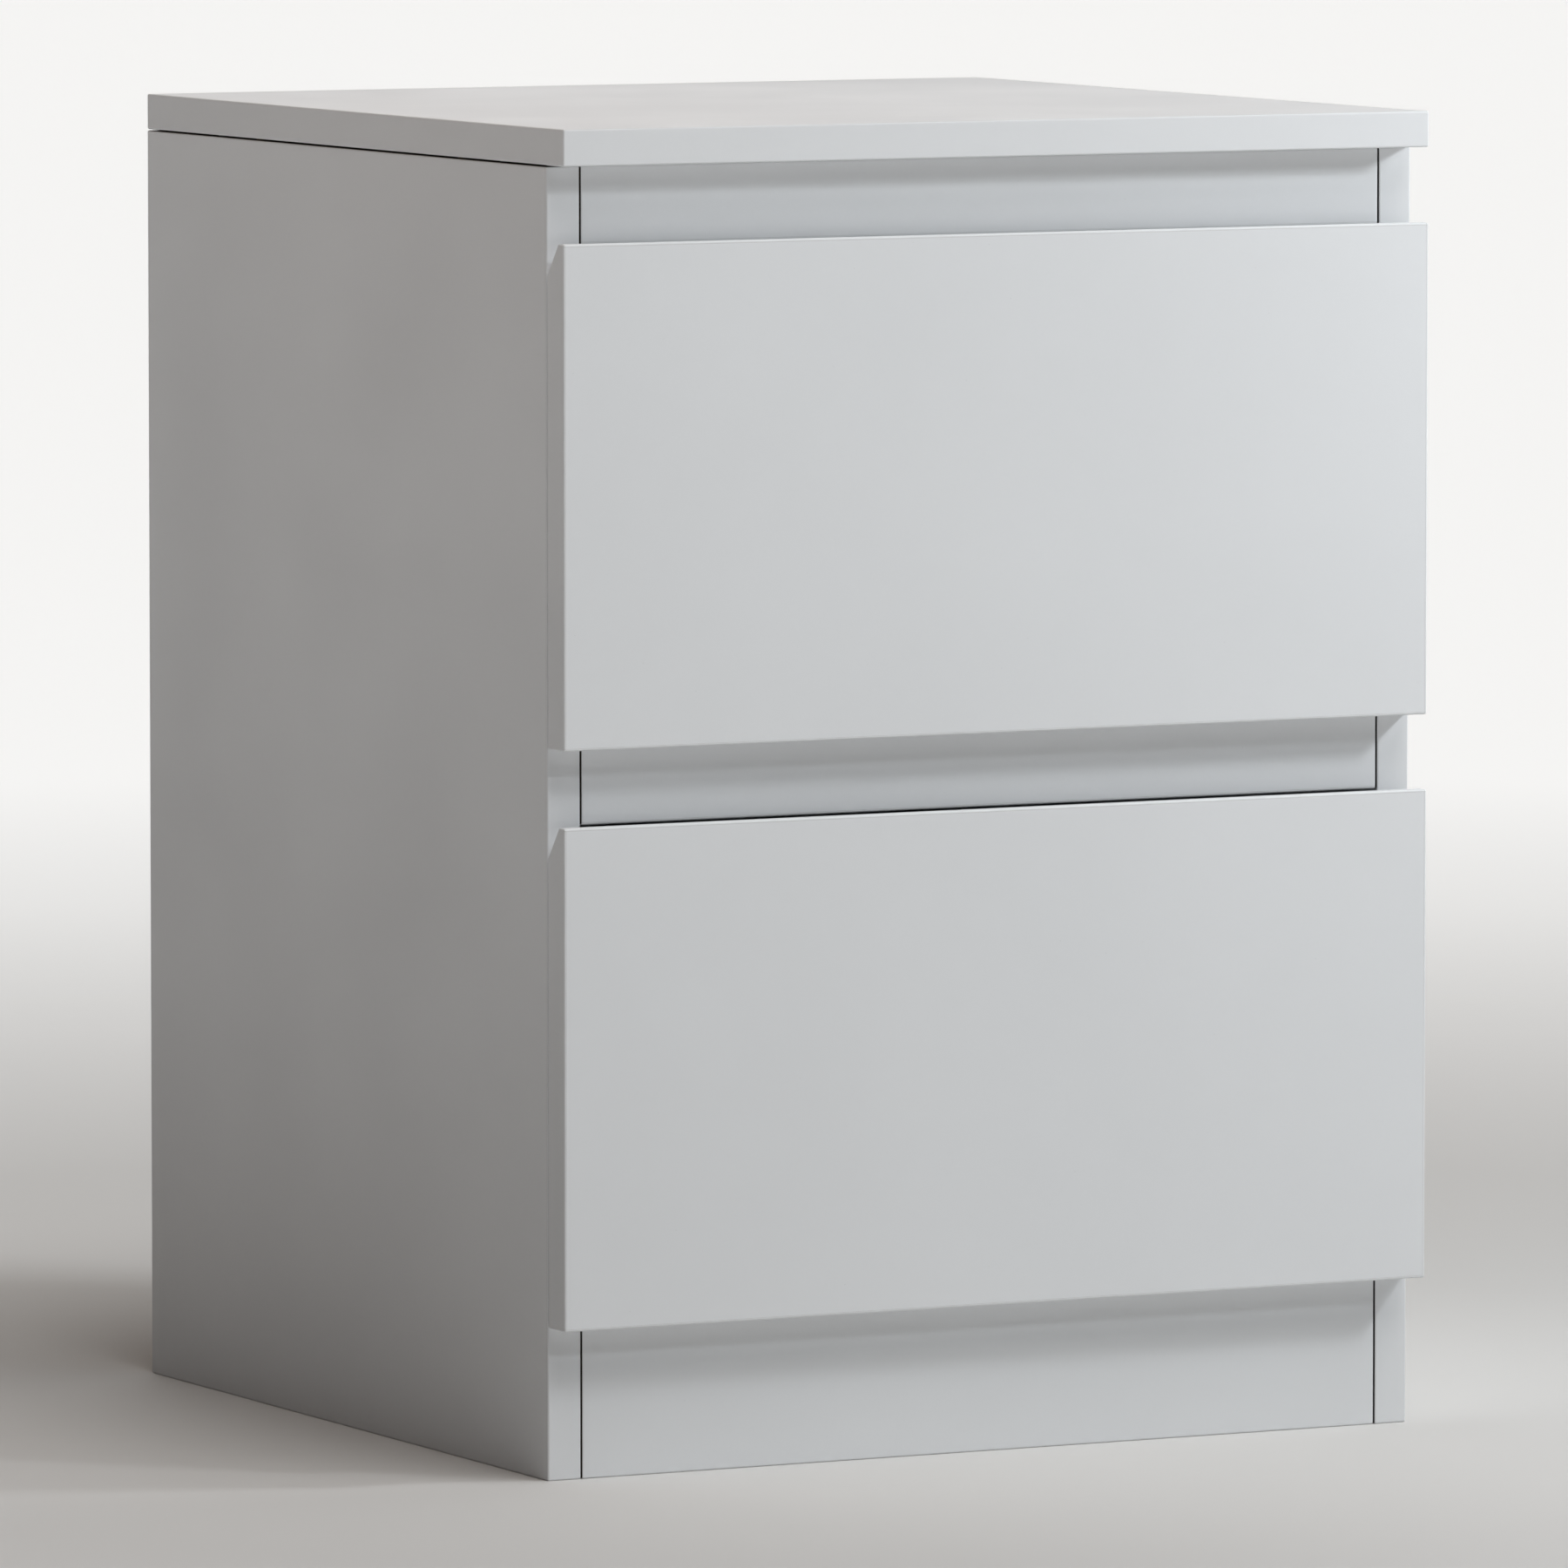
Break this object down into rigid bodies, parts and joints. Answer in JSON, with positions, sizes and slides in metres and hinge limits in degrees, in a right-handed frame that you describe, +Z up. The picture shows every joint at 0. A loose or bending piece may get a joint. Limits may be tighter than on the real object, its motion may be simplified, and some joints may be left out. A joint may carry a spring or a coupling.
{
  "type": "nightstand with drawers",
  "caption": "White board nightstand on a plinth, with handleless drawers that have bevelled finger-pull top edges and slide on roller runners.",
  "frame": {"origin": "centre of the footprint, at floor level", "axes": "+Z up, +X to the right seen from the front, +Y towards the back; the drawers open along -Y"},
  "size_m": [0.4, 0.4, 0.549],
  "materials": {
    "white_board": "satin white melamine facing on particle board",
    "hardboard": "thin hardboard, white lacquered on its inner face, bare brown on its outer face",
    "runner_steel": "white epoxy powder coat",
    "nylon_roller": "moulded nylon",
    "axle_steel": "bright riveted steel",
    "zinc_plated_steel": "zinc-plated steel",
    "zinc_fitting": "die-cast zinc",
    "beech_dowel": "fluted bare beech"
  },
  "bodies": {
    "carcass": {"top_panel": "white_board", "left_side_panel": "white_board", "right_side_panel": "white_board", "back_panel": "hardboard", "front_top_rail": "white_board", "front_middle_rail": "white_board", "plinth_board": "white_board", "rear_top_rail": "white_board", "rear_bottom_rail": "white_board", "carcass_cam_locks": "zinc_fitting", "carcass_cam_bolts": "zinc_fitting", "carcass_dowels": "beech_dowel", "back_panel_nails": "zinc_plated_steel", "cabinet_runner_screws": "zinc_plated_steel", "cabinet_roller_axles": "axle_steel", "upper_left_cabinet_runner": "runner_steel", "upper_right_cabinet_runner": "runner_steel", "lower_left_cabinet_runner": "runner_steel", "lower_right_cabinet_runner": "runner_steel"},
    "upper_drawer": {"upper_drawer_front": "white_board", "upper_drawer_left_side": "white_board", "upper_drawer_right_side": "white_board", "upper_drawer_back": "white_board", "upper_drawer_bottom": "hardboard", "upper_drawer_left_runner": "runner_steel", "upper_drawer_right_runner": "runner_steel", "upper_drawer_cam_locks": "zinc_fitting", "upper_drawer_cam_bolts": "zinc_fitting", "upper_drawer_dowels": "beech_dowel", "upper_drawer_back_screws": "zinc_plated_steel", "upper_drawer_runner_screws": "zinc_plated_steel", "upper_drawer_roller_axles": "axle_steel"},
    "lower_drawer": {"lower_drawer_front": "white_board", "lower_drawer_left_side": "white_board", "lower_drawer_right_side": "white_board", "lower_drawer_back": "white_board", "lower_drawer_bottom": "hardboard", "lower_drawer_left_runner": "runner_steel", "lower_drawer_right_runner": "runner_steel", "lower_drawer_cam_locks": "zinc_fitting", "lower_drawer_cam_bolts": "zinc_fitting", "lower_drawer_dowels": "beech_dowel", "lower_drawer_back_screws": "zinc_plated_steel", "lower_drawer_runner_screws": "zinc_plated_steel", "lower_drawer_roller_axles": "axle_steel"},
    "upper_left_cabinet_roller": {"upper_left_cabinet_roller": "nylon_roller"},
    "upper_left_drawer_roller": {"upper_drawer_left_roller": "nylon_roller"},
    "upper_right_cabinet_roller": {"upper_right_cabinet_roller": "nylon_roller"},
    "upper_right_drawer_roller": {"upper_drawer_right_roller": "nylon_roller"},
    "lower_left_cabinet_roller": {"lower_left_cabinet_roller": "nylon_roller"},
    "lower_left_drawer_roller": {"lower_drawer_left_roller": "nylon_roller"},
    "lower_right_cabinet_roller": {"lower_right_cabinet_roller": "nylon_roller"},
    "lower_right_drawer_roller": {"lower_drawer_right_roller": "nylon_roller"}
  },
  "joints": [
    {"name": "upper_drawer_slide", "type": "slide", "parent": "carcass", "child": "upper_drawer", "axis": [0, -1, 0], "range_m": [0, 0.26]},
    {"name": "lower_drawer_slide", "type": "slide", "parent": "carcass", "child": "lower_drawer", "axis": [0, -1, 0], "range_m": [0, 0.26]},
    {"name": "upper_left_cabinet_roller_spin", "type": "hinge", "parent": "carcass", "child": "upper_left_cabinet_roller", "pos_m": [-0.1787, -0.1715, 0.32835], "axis": [1, 0, 0], "continuous": true},
    {"name": "upper_left_drawer_roller_spin", "type": "hinge", "parent": "upper_drawer", "child": "upper_left_drawer_roller", "pos_m": [-0.1787, 0.154, 0.328], "axis": [1, 0, 0], "continuous": true},
    {"name": "upper_right_cabinet_roller_spin", "type": "hinge", "parent": "carcass", "child": "upper_right_cabinet_roller", "pos_m": [0.1787, -0.1715, 0.32835], "axis": [1, 0, 0], "continuous": true},
    {"name": "upper_right_drawer_roller_spin", "type": "hinge", "parent": "upper_drawer", "child": "upper_right_drawer_roller", "pos_m": [0.1787, 0.154, 0.328], "axis": [1, 0, 0], "continuous": true},
    {"name": "lower_left_cabinet_roller_spin", "type": "hinge", "parent": "carcass", "child": "lower_left_cabinet_roller", "pos_m": [-0.1787, -0.1715, 0.0926], "axis": [1, 0, 0], "continuous": true},
    {"name": "lower_left_drawer_roller_spin", "type": "hinge", "parent": "lower_drawer", "child": "lower_left_drawer_roller", "pos_m": [-0.1787, 0.154, 0.09225], "axis": [1, 0, 0], "continuous": true},
    {"name": "lower_right_cabinet_roller_spin", "type": "hinge", "parent": "carcass", "child": "lower_right_cabinet_roller", "pos_m": [0.1787, -0.1715, 0.0926], "axis": [1, 0, 0], "continuous": true},
    {"name": "lower_right_drawer_roller_spin", "type": "hinge", "parent": "lower_drawer", "child": "lower_right_drawer_roller", "pos_m": [0.1787, 0.154, 0.09225], "axis": [1, 0, 0], "continuous": true}
  ],
  "couplings": [
    {"joint": "upper_left_cabinet_roller_spin", "follows": "upper_drawer_slide", "rad_per_m": 111.11},
    {"joint": "upper_left_drawer_roller_spin", "follows": "upper_drawer_slide", "rad_per_m": 111.11},
    {"joint": "upper_right_cabinet_roller_spin", "follows": "upper_drawer_slide", "rad_per_m": 111.11},
    {"joint": "upper_right_drawer_roller_spin", "follows": "upper_drawer_slide", "rad_per_m": 111.11},
    {"joint": "lower_left_cabinet_roller_spin", "follows": "lower_drawer_slide", "rad_per_m": 111.11},
    {"joint": "lower_left_drawer_roller_spin", "follows": "lower_drawer_slide", "rad_per_m": 111.11},
    {"joint": "lower_right_cabinet_roller_spin", "follows": "lower_drawer_slide", "rad_per_m": 111.11},
    {"joint": "lower_right_drawer_roller_spin", "follows": "lower_drawer_slide", "rad_per_m": 111.11}
  ]
}
